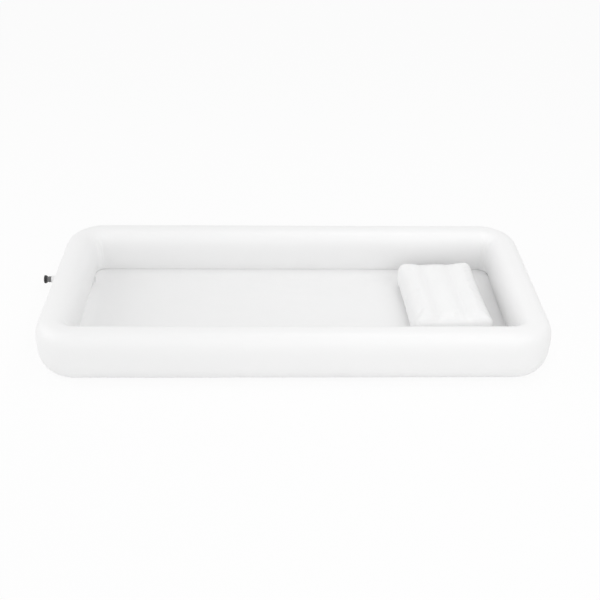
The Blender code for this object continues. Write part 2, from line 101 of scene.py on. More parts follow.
# %% Light and ground
WORLD_LIGHT = 0.69
SOFT_LAMPS = {
    "key": {"place": (2.4, -2.6, 3.4), "aim": (0.1, 0, 0.1), "size": 3.0, "watts": 29},
    "front_fill": {"place": (0.3, -3.8, 1.2), "aim": (0.1, 0, 0.1), "size": 3.0, "watts": 17},
    "left_fill": {"place": (-3.2, -0.2, 1.6), "aim": (0.8, 0, 0.1), "size": 3.0, "watts": 21},
    "head_end_fill": {"place": (0.6, 0.1, 2.4), "aim": (0.85, 0, 0), "size": 1.4, "watts": 8},
}
GROUND_SIZE = 30.0
GROUND_DROP = 0.0004
GROUND_COLOUR = (0.90, 0.90, 0.90, 1)
GROUND_ROUGHNESS = 0.9
GROUND_SEEN_WHITE = 0.90


def seen_directly(nodes, links):
    """1 for a ray straight from the camera, from a mirror or through glass, otherwise 0."""
    path = nodes.new("ShaderNodeLightPath")
    both = nodes.new("ShaderNodeMath")
    both.operation = "MAXIMUM"
    links.new(path.outputs["Is Camera Ray"], both.inputs[0])
    links.new(path.outputs["Is Glossy Ray"], both.inputs[1])
    every = nodes.new("ShaderNodeMath")
    every.operation = "MAXIMUM"
    links.new(both.outputs[0], every.inputs[0])
    links.new(path.outputs["Is Transmission Ray"], every.inputs[1])
    return every.outputs[0]


def studio_world():
    world = bpy.data.worlds.new("studio")
    world.use_nodes = True
    nodes, links = world.node_tree.nodes, world.node_tree.links
    strength = nodes.new("ShaderNodeMapRange")
    strength.inputs["To Min"].default_value = WORLD_LIGHT
    strength.inputs["To Max"].default_value = 1.0
    links.new(seen_directly(nodes, links), strength.inputs["Value"])
    background = nodes["Background"]
    background.inputs["Color"].default_value = (1, 1, 1, 1)
    links.new(strength.outputs["Result"], background.inputs["Strength"])
    return world


def soft_lamp(name, place, aim, size, watts):
    """Round area lamp at a place, shining towards its aim."""
    data = bpy.data.lights.new(name, "AREA")
    data.shape = "DISK"
    data.size = size
    data.energy = watts
    made = bpy.data.objects.new(name, data)
    turn = (Vector(place) - Vector(aim)).to_track_quat("Z", "Y").to_matrix().to_4x4()
    made.matrix_world = Matrix.Translation(place) @ turn
    bpy.context.scene.collection.objects.link(made)


def ground_material():
    """Pale ground that fades to white where the camera sees it, and keeps the tub's shade."""
    made = bpy.data.materials.new("pale_ground")
    made.use_nodes = True
    nodes, links = made.node_tree.nodes, made.node_tree.links
    diffuse = nodes["Principled BSDF"]
    diffuse.inputs["Base Color"].default_value = GROUND_COLOUR
    diffuse.inputs["Roughness"].default_value = GROUND_ROUGHNESS
    diffuse.inputs["Specular IOR Level"].default_value = 0.0
    glow = nodes.new("ShaderNodeEmission")
    share = nodes.new("ShaderNodeMath")
    share.operation = "MULTIPLY"
    share.inputs[1].default_value = GROUND_SEEN_WHITE
    links.new(seen_directly(nodes, links), share.inputs[0])
    mix = nodes.new("ShaderNodeMixShader")
    links.new(share.outputs[0], mix.inputs["Fac"])
    links.new(diffuse.outputs[0], mix.inputs[1])
    links.new(glow.outputs[0], mix.inputs[2])
    links.new(mix.outputs[0], nodes["Material Output"].inputs["Surface"])
    return made


def ground():
    mesh = bmesh.new()
    place = Matrix.Translation((0, 0, -GROUND_DROP))
    bmesh.ops.create_grid(mesh, x_segments=1, y_segments=1, size=GROUND_SIZE / 2, matrix=place)
    data = bpy.data.meshes.new("ground")
    mesh.to_mesh(data)
    mesh.free()
    data.materials.append(ground_material())
    made = bpy.data.objects.new("ground", data)
    bpy.context.scene.collection.objects.link(made)


bpy.context.scene.world = studio_world()
bpy.context.scene.view_settings.view_transform = "Standard"
for lamp_name, lamp in SOFT_LAMPS.items():
    soft_lamp(lamp_name, **lamp)
ground()
print("world light", WORLD_LIGHT, "and lamps of", [lamp["watts"] for lamp in SOFT_LAMPS.values()], "W")

# %% [markdown]
# Nearly everything here is PVC: blown film, moulded plastic or rubber. What differs is how even the
# colour is, how fine the grain is and how much the skin is creased, so one node group works out
# those three and each material sets its own amounts. The group puts out only values that change
# over the surface. What is the same all over stays on the shader.

# %% Shared skin group
CLOUD_DETAIL = 3.0
ROUGHNESS_SPREAD = 0.10
CREASE_WIDTH = 0.06


def socket(tree, name, kind, side="INPUT"):
    return tree.interface.new_socket(name=name, in_out=side, socket_type=kind)


def skin_group():
    """Colour, roughness and height of a plastic skin, from a place on the piece."""
    tree = bpy.data.node_groups.new("plastic_skin", "ShaderNodeTree")
    socket(tree, "Place", "NodeSocketVector")
    socket(tree, "Colour", "NodeSocketColor")
    for title, kind in (("Cloud", "Shade"), ("Grain", "Height"), ("Crease", "Height")):
        socket(tree, title + " Scale", "NodeSocketFloat")
        socket(tree, title + " " + kind, "NodeSocketFloat")
    socket(tree, "Roughness", "NodeSocketFloat")
    socket(tree, "Colour", "NodeSocketColor", "OUTPUT")
    socket(tree, "Roughness", "NodeSocketFloat", "OUTPUT")
    socket(tree, "Height", "NodeSocketFloat", "OUTPUT")
    nodes, links = tree.nodes, tree.links
    given = nodes.new("NodeGroupInput")
    result = nodes.new("NodeGroupOutput")

    cloud = nodes.new("ShaderNodeTexNoise")
    cloud.inputs["Detail"].default_value = CLOUD_DETAIL
    links.new(given.outputs["Place"], cloud.inputs["Vector"])
    links.new(given.outputs["Cloud Scale"], cloud.inputs["Scale"])
    shade = nodes.new("ShaderNodeMath")
    shade.operation = "MULTIPLY"
    links.new(cloud.outputs["Fac"], shade.inputs[0])
    links.new(given.outputs["Cloud Shade"], shade.inputs[1])
    kept = nodes.new("ShaderNodeMath")
    kept.operation = "SUBTRACT"
    kept.inputs[0].default_value = 1.0
    links.new(shade.outputs[0], kept.inputs[1])
    tinted = nodes.new("ShaderNodeVectorMath")
    tinted.operation = "SCALE"
    links.new(given.outputs["Colour"], tinted.inputs[0])
    links.new(kept.outputs[0], tinted.inputs["Scale"])
    links.new(tinted.outputs[0], result.inputs["Colour"])

    spread = nodes.new("ShaderNodeMath")
    spread.operation = "MULTIPLY_ADD"
    spread.inputs[1].default_value = ROUGHNESS_SPREAD
    links.new(cloud.outputs["Fac"], spread.inputs[0])
    links.new(given.outputs["Roughness"], spread.inputs[2])
    links.new(spread.outputs[0], result.inputs["Roughness"])

    grain = nodes.new("ShaderNodeTexNoise")
    links.new(given.outputs["Place"], grain.inputs["Vector"])
    links.new(given.outputs["Grain Scale"], grain.inputs["Scale"])
    grain_height = nodes.new("ShaderNodeMath")
    grain_height.operation = "MULTIPLY"
    links.new(grain.outputs["Fac"], grain_height.inputs[0])
    links.new(given.outputs["Grain Height"], grain_height.inputs[1])

    crease = nodes.new("ShaderNodeTexVoronoi")
    crease.feature = "DISTANCE_TO_EDGE"
    links.new(given.outputs["Place"], crease.inputs["Vector"])
    links.new(given.outputs["Crease Scale"], crease.inputs["Scale"])
    fold = nodes.new("ShaderNodeMapRange")
    fold.interpolation_type = "SMOOTHSTEP"
    fold.inputs["From Max"].default_value = CREASE_WIDTH
    links.new(crease.outputs["Distance"], fold.inputs["Value"])
    crease_height = nodes.new("ShaderNodeMath")
    crease_height.operation = "MULTIPLY_ADD"
    links.new(fold.outputs["Result"], crease_height.inputs[0])
    links.new(given.outputs["Crease Height"], crease_height.inputs[1])
    links.new(grain_height.outputs[0], crease_height.inputs[2])
    links.new(crease_height.outputs[0], result.inputs["Height"])
    return tree


SKIN = skin_group()
print("skin group with", len(SKIN.nodes), "nodes")

# %% [markdown]
# The ring, the floor and the pillow are the same satin white sheet, a touch glossier where it lies
# flat. The floor and the pillow show a few more faint creases, because they were folded smaller. The
# screw neck is grey moulded plastic, its cap near-black with a fine matt grain and the air valve
# white. The flaps and all of the pillow's valve are clear vinyl that has gone milky.

# %% Materials
def plastic(
    name, colour, roughness, cloud=(5.0, 0.02), grain=(900.0, 0.05), crease=(7.0, 0.0), bump_mm=0.3
):
    """Principled material that takes its uneven colour, gloss and height from the skin group."""
    made = bpy.data.materials.new(name)
    made.use_nodes = True
    nodes, links = made.node_tree.nodes, made.node_tree.links
    place = nodes.new("ShaderNodeTexCoord")
    skin = nodes.new("ShaderNodeGroup")
    skin.node_tree = SKIN
    links.new(place.outputs["Object"], skin.inputs["Place"])
    skin.inputs["Colour"].default_value = (*colour, 1)
    skin.inputs["Roughness"].default_value = roughness
    for title, (scale, amount), kind in (
        ("Cloud", cloud, "Shade"),
        ("Grain", grain, "Height"),
        ("Crease", crease, "Height"),
    ):
        skin.inputs[title + " Scale"].default_value = scale
        skin.inputs[title + " " + kind].default_value = amount
    bump = nodes.new("ShaderNodeBump")
    bump.inputs["Distance"].default_value = bump_mm / 1000
    links.new(skin.outputs["Height"], bump.inputs["Height"])
    shader = nodes["Principled BSDF"]
    links.new(skin.outputs["Colour"], shader.inputs["Base Color"])
    links.new(skin.outputs["Roughness"], shader.inputs["Roughness"])
    links.new(bump.outputs["Normal"], shader.inputs["Normal"])
    return made


RING_FILM = plastic("white_ring_film", (0.93, 0.93, 0.93), 0.38, cloud=(3.0, 0.02), crease=(4.0, 0.25))
FLOOR_FILM = plastic("white_floor_film", (0.92, 0.92, 0.92), 0.28, cloud=(4.0, 0.02), crease=(6.0, 0.5))
PILLOW_FILM = plastic(
    "white_pillow_film", (0.93, 0.93, 0.93), 0.38, cloud=(9.0, 0.02), crease=(14.0, 0.4)
)
PATCH_FILM_LOOK = plastic("white_patch_film", (0.89, 0.89, 0.89), 0.34, grain=(1400.0, 0.25))
WHITE_PLASTIC = plastic(
    "white_moulded_plastic", (0.85, 0.85, 0.85), 0.34, grain=(2200.0, 0.3), bump_mm=0.1
)
GREY_PLASTIC = plastic(
    "grey_moulded_plastic", (0.20, 0.20, 0.205), 0.36, cloud=(60.0, 0.15), grain=(2400.0, 0.5)
)
BLACK_PLASTIC = plastic(
    "black_moulded_plastic", (0.022, 0.022, 0.024), 0.40, cloud=(60.0, 0.3), grain=(2600.0, 0.8)
)
BLACK_RUBBER = plastic("black_rubber", (0.025, 0.025, 0.025), 0.60, grain=(1800.0, 0.8))
CLEAR_VINYL = plastic("milky_vinyl", (0.80, 0.82, 0.84), 0.18, cloud=(80.0, 0.05), grain=(1500.0, 0.1))
print("materials", len(bpy.data.materials))

# %% [markdown]
# Every finished piece is made the same way: a mesh in its own small frame, moved to its seat, with
# its sharp edges kept sharp in its smooth shading, its finish set, and the CAD node that it stands for
# put away. The object itself stays at the origin, so its place is in its mesh, as the frame's own nodes
# have it.

# %% Helpers for pieces
SHARP_ANGLE = math.radians(35)
EDGE_SEGMENTS = 3
FINE_STEPS = 96
WELD_DISTANCE = 0.000002


def of_kind(geometry, kind):
    return [item for item in geometry if isinstance(item, kind)]


def line_of(mesh, points, closed):
    """Vertices at the points and the edges of the line or loop through them."""
    corners = [mesh.verts.new(point) for point in points]
    pairs = list(zip(corners, corners[1:]))
    if closed:
        pairs.append((corners[-1], corners[0]))
    return corners + [mesh.edges.new(pair) for pair in pairs]


def closed_up(mesh):
    """Merge doubled vertices and point every face outwards."""
    bmesh.ops.remove_doubles(mesh, verts=mesh.verts, dist=WELD_DISTANCE)
    bmesh.ops.recalc_face_normals(mesh, faces=mesh.faces)
    return mesh


def turned(profile, steps=FINE_STEPS):
    """Body of revolution about Z from (radius, height) points, closed at the axis where it meets it."""
    mesh = bmesh.new()
    points = [(radius, 0, height) for radius, height in profile]
    meets_axis = min(radius for radius, _ in profile) == 0
    line = line_of(mesh, points, closed=not meets_axis)
    bmesh.ops.spin(
        mesh, geom=line, cent=(0, 0, 0), axis=(0, 0, 1), angle=2 * math.pi, steps=steps, use_merge=True
    )
    return closed_up(mesh)


def softened(mesh, width):
    """Round every sharp edge of a mesh."""
    sharp = [e for e in mesh.edges if len(e.link_faces) == 2 and e.calc_face_angle(0) > SHARP_ANGLE]
    bmesh.ops.bevel(
        mesh,
        geom=sharp,
        offset=width,
        offset_type="OFFSET",
        segments=EDGE_SEGMENTS,
        profile=0.5,
        affect="EDGES",
        clamp_overlap=True,
        material=-1,
    )
    return mesh


def box_mesh(low, high):
    """Box between two opposite corners."""
    mesh = bmesh.new()
    size = Vector(high) - Vector(low)
    middle = (Vector(high) + Vector(low)) / 2
    bmesh.ops.create_cube(mesh, size=1, matrix=Matrix.Translation(middle) @ Matrix.Diagonal((*size, 1)))
    return mesh


def object_of(name, mesh):
    data = bpy.data.meshes.new(name)
    mesh.to_mesh(data)
    mesh.free()
    made = bpy.data.objects.new(name, data)
    bpy.context.scene.collection.objects.link(made)
    return made


def worked_in(made):
    """Put an object's modifiers into its mesh, and leave none on it."""
    bpy.context.view_layer.update()
    graph = bpy.context.evaluated_depsgraph_get()
    data = bpy.data.meshes.new_from_object(made.evaluated_get(graph))
    made.modifiers.clear()
    made.data = data


def carved(mesh, operation, *tools):
    """A mesh after tools are cut from it, joined to it or crossed with it."""
    made = object_of("carved", mesh)
    helpers = [object_of("tool", tool) for tool in tools]
    for helper in helpers:
        change = made.modifiers.new("carve", "BOOLEAN")
        change.operation = operation
        change.object = helper
        change.solver = "EXACT"
    worked_in(made)
    result = bmesh.new()
    result.from_mesh(made.data)
    for spent in (made, *helpers):
        bpy.data.objects.remove(spent)
    return result


def finished(name, mesh, seat, look, body, slot, *nodes):
    """Show one finished piece: at its seat, with its look and body, for its CAD nodes. The slot is not
    used.
    """
    bmesh.ops.transform(mesh, matrix=seat, verts=mesh.verts)
    bmesh.ops.recalc_face_normals(mesh, faces=mesh.faces)
    made = object_of(name, mesh)
    made.data.shade_smooth()
    made.data.set_sharp_from_angle(angle=SHARP_ANGLE)
    made.data.materials.append(look)
    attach(made, body)
    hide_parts(*nodes)
    return made


def seat_at(place, outward):
    """Matrix of a seat whose Z points outwards and whose X points up."""
    up = Vector((0, 0, 1))
    outward = Vector(outward).normalized()
    return Matrix.Translation(place) @ Matrix((up, outward.cross(up), outward)).transposed().to_4x4()


HOME = Matrix.Identity(4)
print("helpers ready, edges sharper than", round(math.degrees(SHARP_ANGLE)), "degrees are rounded")

# %% [markdown]
# The ring is a long sleeve of PVC film, welded into a loop and blown up. Film webs inside pull its
# side walls in, so its section is a boxy oval, 13 cm wide and 20 cm tall. The same section is swept
# here round the same path as in the CAD model, only finer. Where the sleeve turns round the tight
# inner corners its film has nowhere to go, so it puckers, and along the straights it swells and sinks
# by a fraction of a millimetre.

# %% Air ring
RING_LOW, RING_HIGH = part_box("side_ring")
RING_HEIGHT = RING_HIGH[2] - RING_LOW[2]
RING_WIDTH = 0.13
RING_FULLNESS = 2.65
OUTER_CORNER_RADIUS = 0.16
RING_POINTS = 96
STRAIGHT_CELL = 0.02
CORNER_CELLS = 40
PUCKER_DEPTH = 0.0016
PUCKER_COUNT = 5
PUCKER_FREE_HEIGHT = 0.06
SWELL_HEIGHT = 0.0006
SWELL_LENGTH = 0.16
CENTRE_X = RING_HIGH[0] - RING_WIDTH / 2
CENTRE_Y = RING_HIGH[1] - RING_WIDTH / 2
CENTRE_RADIUS = OUTER_CORNER_RADIUS - RING_WIDTH / 2
CORNER_X = CENTRE_X - CENTRE_RADIUS
CORNER_Y = CENTRE_Y - CENTRE_RADIUS
RING_MIDDLE = RING_HEIGHT / 2


def ring_section():
    """Points of the ring's boxy oval, as far out as the CAD section's flats."""
    power = 2 / RING_FULLNESS
    points = []
    for i in range(RING_POINTS):
        angle = 2 * math.pi * (i + 0.5) / RING_POINTS
        across = math.copysign(abs(math.cos(angle)) ** power, math.cos(angle))
        upward = math.copysign(abs(math.sin(angle)) ** power, math.sin(angle))
        points.append((RING_WIDTH / 2 * across, RING_MIDDLE * upward))
    return points


def half_width_at(height):
    """Half the ring's width at a height above the ground."""
    level = min(1, abs(height - RING_MIDDLE) / RING_MIDDLE)
    return RING_WIDTH / 2 * (1 - level**RING_FULLNESS) ** (1 / RING_FULLNESS)


def swept_ring():
    """The section swept in short steps along four straights and round four corners."""
    mesh = bmesh.new()
    start = Vector((CENTRE_X, -CORNER_Y, RING_MIDDLE))
    outline = line_of(mesh, [start + Vector((x, 0, z)) for x, z in ring_section()], closed=True)
    sides = (
        (Vector((0, 2 * CORNER_Y, 0)), Vector((CORNER_X, CORNER_Y, 0))),
        (Vector((-2 * CORNER_X, 0, 0)), Vector((-CORNER_X, CORNER_Y, 0))),
        (Vector((0, -2 * CORNER_Y, 0)), Vector((-CORNER_X, -CORNER_Y, 0))),
        (Vector((2 * CORNER_X, 0, 0)), Vector((CORNER_X, -CORNER_Y, 0))),
    )
    for straight, corner in sides:
        cells = math.ceil(straight.length / STRAIGHT_CELL)
        for _ in range(cells):
            edges = of_kind(outline, bmesh.types.BMEdge)
            made = bmesh.ops.extrude_edge_only(mesh, edges=edges)["geom"]
            bmesh.ops.translate(mesh, verts=of_kind(made, bmesh.types.BMVert), vec=straight / cells)
            outline = of_kind(made, (bmesh.types.BMVert, bmesh.types.BMEdge))
        outline = bmesh.ops.spin(
            mesh, geom=outline, cent=corner, axis=(0, 0, 1), angle=math.pi / 2, steps=CORNER_CELLS
        )["geom_last"]
    return closed_up(mesh)


def puckered(mesh):
    """Press folds into the film round the inner corners, and a slow swell into the rest."""
    mesh.normal_update()
    moves = []
    for corner in mesh.verts:
        place = corner.co
        swell = SWELL_HEIGHT * noise.noise(place / SWELL_LENGTH)
        move = corner.normal * swell
        away = Vector((abs(place.x) - CORNER_X, abs(place.y) - CORNER_Y))
        if away.x > 0 and away.y > 0:
            turn = math.atan2(away.y, away.x) / (math.pi / 2)
            inner = max(0, (CENTRE_RADIUS - away.length) / (RING_WIDTH / 2))
            fold = (1 - math.cos(2 * math.pi * PUCKER_COUNT * turn)) / 2
            out_x, out_y = math.copysign(away.x, place.x), math.copysign(away.y, place.y)
            outward = Vector((out_x, out_y, 0)).normalized()
            held = min(1, place.z / PUCKER_FREE_HEIGHT) ** 2
            move += outward * PUCKER_DEPTH * held * inner**3 * fold * math.sin(math.pi * turn)
        moves.append((corner, move))
    for corner, move in moves:
        corner.co += move
    return mesh


def middle_of(node):
    low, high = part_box(node)
    return (Vector(low) + Vector(high)) / 2


CUT_OVERRUN = 0.010
TOUCH_GAP = 0.0003
SLEEVE_RADIUS = 0.0155
SOCKET_RADIUS = 0.0180
SOCKET_DEPTH = 0.038
drain_middle = middle_of("drain_neck")
valve_middle = middle_of("inflation_base")
DRAIN_SEAT = seat_at((RING_LOW[0], drain_middle.y, drain_middle.z), (-1, 0, 0))
BASIN_DRAIN_SEAT = seat_at((RING_LOW[0] + RING_WIDTH, drain_middle.y, drain_middle.z), (1, 0, 0))
VALVE_SEAT = seat_at((valve_middle.x, RING_HIGH[1], valve_middle.z), (0, 1, 0))


def rod(radius, low, high, seat, steps=FINE_STEPS):
    """Plain round bar in a seat's frame, for cutting holes."""
    mesh = turned([(0, low), (radius, low), (radius, high), (0, high)], steps)
    bmesh.ops.transform(mesh, matrix=seat, verts=mesh.verts)
    return mesh


ring_mesh = carved(
    puckered(swept_ring()),
    "DIFFERENCE",
    rod(SLEEVE_RADIUS + TOUCH_GAP, -RING_WIDTH - CUT_OVERRUN, CUT_OVERRUN, DRAIN_SEAT),
    rod(SOCKET_RADIUS + TOUCH_GAP, -SOCKET_DEPTH, CUT_OVERRUN, VALVE_SEAT),
)
ring = finished("ring_film", ring_mesh, HOME, RING_FILM, "tub", "white_film", "side_ring")
print("ring", len(ring.data.polygons), "faces")

# %% [markdown]
# The floor is one sheet of film, welded to the underside of the ring and lying on the ground. Its
# weld follows the ring's round underside a little way up, so the film slopes down from it to the
# ground, and the cells nearest the weld are moved onto its line. Folds from its packing never quite
# go, so further in it lifts by a millimetre or two in soft waves, but not where the pillow presses on
# it. It is a thin slab of small cells, crossed with the film's round-cornered outline.

# %% Floor film
FLOOR_LOW, FLOOR_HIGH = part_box("floor_sheet")
FLOOR_THICKNESS = FLOOR_HIGH[2] - FLOOR_LOW[2]
FLOOR_CELL = 0.012
FLOOR_CORNER_RADIUS = CENTRE_RADIUS - (CENTRE_X - FLOOR_HIGH[0])
WAVE_HEIGHT = 0.0035
WAVE_LENGTH = 0.13
WAVE_LEVEL = 0.05
WAVE_STRETCH = 0.6
FINER_WAVE_FADE = 0.6
FINER_WAVE_STEP = 2.2
FINER_WAVES = 3
WAVE_FADE = 0.06
FLOOR_SLACK = 0.02
WELD_REACH = 0.046
WELD_GAP = 0.0003
WELD_SNAP = 0.0065
RAMP_LENGTH = 0.055


def floor_slab():
    """Cells of film crossed with its round-cornered outline."""
    reach = Vector((FLOOR_HIGH[0], FLOOR_HIGH[1]))
    slab = bmesh.new()
    bmesh.ops.create_grid(
        slab,
        x_segments=round(2 * reach.x / FLOOR_CELL),
        y_segments=round(2 * reach.y / FLOOR_CELL),
        size=1,
        matrix=Matrix.Diagonal((reach.x + FLOOR_SLACK, reach.y + FLOOR_SLACK, 1, 1)),
    )
    made = bmesh.ops.extrude_face_region(slab, geom=slab.faces[:])["geom"]
    bmesh.ops.translate(slab, verts=of_kind(made, bmesh.types.BMVert), vec=(0, 0, FLOOR_THICKNESS))
    outline = bmesh.new()
    bmesh.ops.create_grid(
        outline, x_segments=1, y_segments=1, size=1, matrix=Matrix.Diagonal((reach.x, reach.y, 1, 1))
    )
    bmesh.ops.bevel(
        outline,
        geom=outline.verts[:],
        offset=FLOOR_CORNER_RADIUS,
        segments=CORNER_CELLS,
        profile=0.5,
        affect="VERTICES",
        material=-1,
    )
    bmesh.ops.translate(outline, verts=outline.verts, vec=(0, 0, -CUT_OVERRUN))
    made = bmesh.ops.extrude_face_region(outline, geom=outline.faces[:])["geom"]
    bmesh.ops.translate(outline, verts=of_kind(made, bmesh.types.BMVert), vec=(0, 0, 2 * CUT_OVERRUN))
    return carved(closed_up(slab), "INTERSECT", closed_up(outline))


def eased(share):
    """0 to 1 with a soft start and end."""
    share = min(1, max(0, share))
    return share * share * (3 - 2 * share)


PILLOW_LOW, PILLOW_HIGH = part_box("pillow_cushion")


def inside_centre_line(place):
    """How far a place lies inside the ring's round-cornered centre line."""
    away = Vector((abs(place.x) - CORNER_X, abs(place.y) - CORNER_Y))
    if away.x > 0 and away.y > 0:
        return CENTRE_RADIUS - away.length
    return min(CENTRE_X - abs(place.x), CENTRE_Y - abs(place.y))


def towards_middle(place):
    """Level direction in which a place gets further inside the ring's centre line."""
    side = Vector((math.copysign(1, place.x), math.copysign(1, place.y)))
    away = Vector((abs(place.x) - CORNER_X, abs(place.y) - CORNER_Y))
    if away.x > 0 and away.y > 0:
        return Vector((-side.x * away.x, -side.y * away.y, 0)).normalized()
    if CENTRE_X - abs(place.x) < CENTRE_Y - abs(place.y):
        return Vector((-side.x, 0, 0))
    return Vector((0, -side.y, 0))


def ring_underside(inside):
    """Height of the ring's lower side at a distance from its centre line."""
    share = min(1, max(0, inside / (RING_WIDTH / 2)))
    return RING_MIDDLE * (1 - (1 - share**RING_FULLNESS) ** (1 / RING_FULLNESS))


def weld_lift(inside):
    """How high the film is held by its weld to the ring: steep at the weld, flat further in."""
    held = max(0, ring_underside(min(inside, WELD_REACH)) - FLOOR_THICKNESS - WELD_GAP)
    down = min(1, max(0, (inside - WELD_REACH) / RAMP_LENGTH))
    return held * (1 - down) ** 2


def wave_at(place):
    """How far the film lifts off the ground in the open floor."""
    to_ring = inside_centre_line(place) - RING_WIDTH / 2
    low, high = PILLOW_LOW, PILLOW_HIGH
    beside = max(low[0] - place.x, place.x - high[0], low[1] - place.y, place.y - high[1])
    free = eased(to_ring / WAVE_FADE) * eased(beside / WAVE_FADE)
    along = Vector((place.x * WAVE_STRETCH, place.y, 0)) / WAVE_LENGTH
    folds = noise.fractal(along, FINER_WAVE_FADE, FINER_WAVE_STEP, FINER_WAVES) + WAVE_LEVEL
    return WAVE_HEIGHT * max(0, folds) * free


floor_mesh = floor_slab()
for corner in floor_mesh.verts:
    off_weld = WELD_REACH - inside_centre_line(corner.co)
    if abs(off_weld) < WELD_SNAP:
        corner.co += towards_middle(corner.co) * off_weld
    corner.co.z += weld_lift(inside_centre_line(corner.co)) + wave_at(corner.co)
floor_film = finished("floor_film", floor_mesh, HOME, FLOOR_FILM, "tub", "floor_film", "floor_sheet")

# %% [markdown]
# The pillow is a small air bag of its own, laid loose on the floor at the head end. Two welds along
# it tie its top film down into three lobes. It starts here as a round-edged box that is a little too
# small, is remeshed into even cells, and is blown up by Blender's cloth solver, which lets the film
# find its own slight puckers. A point's move is softly limited, so that the pillow keeps its size.
# The subdivided box comes out in another order each run, with last digits that differ, and the solver
# makes more of it, so the puckers differ a little from run to run.
# The two weld channels are pressed in afterwards, because remeshing would blur them.

# %% Pillow
PILLOW_PLACE = Vector((0.617, 0.017, PILLOW_LOW[2]))
PILLOW_TURN = math.radians(2.5)
PILLOW_SIZE = Vector((0.325, 0.47, 0.119))
PILLOW_ROUND = 0.030
PILLOW_CELLS = (60, 90, 20)
PILLOW_VOXEL = 0.005
START_SHRINK = 0.003
MOST_MOVE = 0.008
AIR_FRAMES = 20
FILM_CLOTH = {
    "quality": 6,
    "mass": 0.4,
    "tension_stiffness": 20,
    "compression_stiffness": 20,
    "shear_stiffness": 10,
    "bending_stiffness": 0.6,
    "use_pressure": True,
    "uniform_pressure_force": 4.0,
}
CHANNEL_PLACES = (-0.054, 0.054)
CHANNEL_DEPTH = 0.008
CHANNEL_WIDTH = 0.021
CHANNEL_END = 0.045
TOP_STARTS = 0.55
TOP_FADE = 0.35
STITCH_LENGTH = 0.017
STITCH_DEPTH = 0.0006
LOBE_RISE = 0.008
SIDE_PULL = 0.002


def rounded(place, half, radius):
    """Push a point of a box's surface onto the same box with round edges."""
    core = Vector([max(-(h - radius), min(h - radius, c)) for c, h in zip(place, half)])
    out = place - core
    if out.length == 0:
        return place
    return core + out.normalized() * radius


def lobe_crown(x, half_width):
    """1 on the crest of each lobe, 0 in each channel and at both sides."""
    marks = [-half_width, *CHANNEL_PLACES, half_width]
    for low, high in zip(marks, marks[1:]):
        if low <= x <= high:
            return (1 - math.cos(2 * math.pi * (x - low) / (high - low))) / 2
    return 0


def pillow_start():
    """Round-edged box of even cells with arched lobes, a little smaller than the blown-up pillow."""
    half = PILLOW_SIZE / 2 - Vector((START_SHRINK, START_SHRINK, START_SHRINK / 2))
    cells_x, cells_y, cells_z = PILLOW_CELLS
    mesh = bmesh.new()
    bmesh.ops.create_grid(
        mesh,
        x_segments=cells_x,
        y_segments=cells_y,
        size=1,
        matrix=Matrix.Translation((0, 0, -half.z)) @ Matrix.Diagonal((half.x, half.y, 1, 1)),
    )
    made = bmesh.ops.extrude_face_region(mesh, geom=mesh.faces[:])["geom"]
    bmesh.ops.translate(mesh, verts=of_kind(made, bmesh.types.BMVert), vec=(0, 0, 2 * half.z))
    upright = [e for e in mesh.edges if abs(e.verts[0].co.z - e.verts[1].co.z) > half.z]
    bmesh.ops.subdivide_edges(mesh, edges=upright, cuts=cells_z - 1, use_grid_fill=True)
    for corner in mesh.verts:
        flat = corner.co.copy()
        corner.co = rounded(flat, half, PILLOW_ROUND)
        upper = max(0, flat.z / half.z)
        along = corner.co.y / half.y
        corner.co.z += LOBE_RISE * lobe_crown(corner.co.x, half.x) * upper * (1 - along**2)
        corner.co.x -= math.copysign(SIDE_PULL, flat.x) * (flat.x / half.x) ** 2 * (1 - along**2)
    bmesh.ops.translate(mesh, verts=mesh.verts, vec=(0, 0, PILLOW_SIZE.z / 2))
    return closed_up(mesh)


def blown_up(made):
    """Inflate a closed mesh with the cloth solver, and softly limit how far each point moves."""
    start = [v.co.copy() for v in made.data.vertices]
    cloth = made.modifiers.new("air", "CLOTH")
    for name, value in FILM_CLOTH.items():
        setattr(cloth.settings, name, value)
    cloth.settings.effector_weights.gravity = 0
    for step in range(AIR_FRAMES):
        bpy.context.scene.frame_set(step + 1)
    worked_in(made)
    for vertex, place in zip(made.data.vertices, start):
        move = vertex.co - place
        vertex.co = place + move.normalized() * MOST_MOVE * math.tanh(move.length / MOST_MOVE)


def pressed_channels(mesh):
    """Press the two weld channels into the top, with the small gathers that each weld leaves."""
    half_length = PILLOW_SIZE.y / 2
    for corner in mesh.verts:
        upper = eased((corner.co.z - PILLOW_SIZE.z * TOP_STARTS) / (PILLOW_SIZE.z * TOP_FADE))
        from_end = half_length - abs(corner.co.y)
        held = upper * eased((from_end - CHANNEL_END / 3) / CHANNEL_END)
        for place in CHANNEL_PLACES:
            near = math.exp(-(((corner.co.x - place) / CHANNEL_WIDTH) ** 2))
            gather = STITCH_DEPTH * math.cos(2 * math.pi * corner.co.y / STITCH_LENGTH)
            wide = math.exp(-(((corner.co.x - place) / (2 * CHANNEL_WIDTH)) ** 2))
            corner.co.z -= held * (CHANNEL_DEPTH * near + gather * (wide - near))
        corner.co.z = max(0, corner.co.z)
    return mesh


def pillow_mesh():
    """The pillow from its starting box: even cells, air, finer cells, then the weld channels."""
    made = object_of("pillow_start", pillow_start())
    remesh = made.modifiers.new("even_cells", "REMESH")
    remesh.mode = "VOXEL"
    remesh.voxel_size = PILLOW_VOXEL
    worked_in(made)
    blown_up(made)
    finer = made.modifiers.new("finer", "SUBSURF")
    finer.levels = 1
    finer.render_levels = 1
    worked_in(made)
    result = bmesh.new()
    result.from_mesh(made.data)
    bpy.data.objects.remove(made)
    return pressed_channels(result)


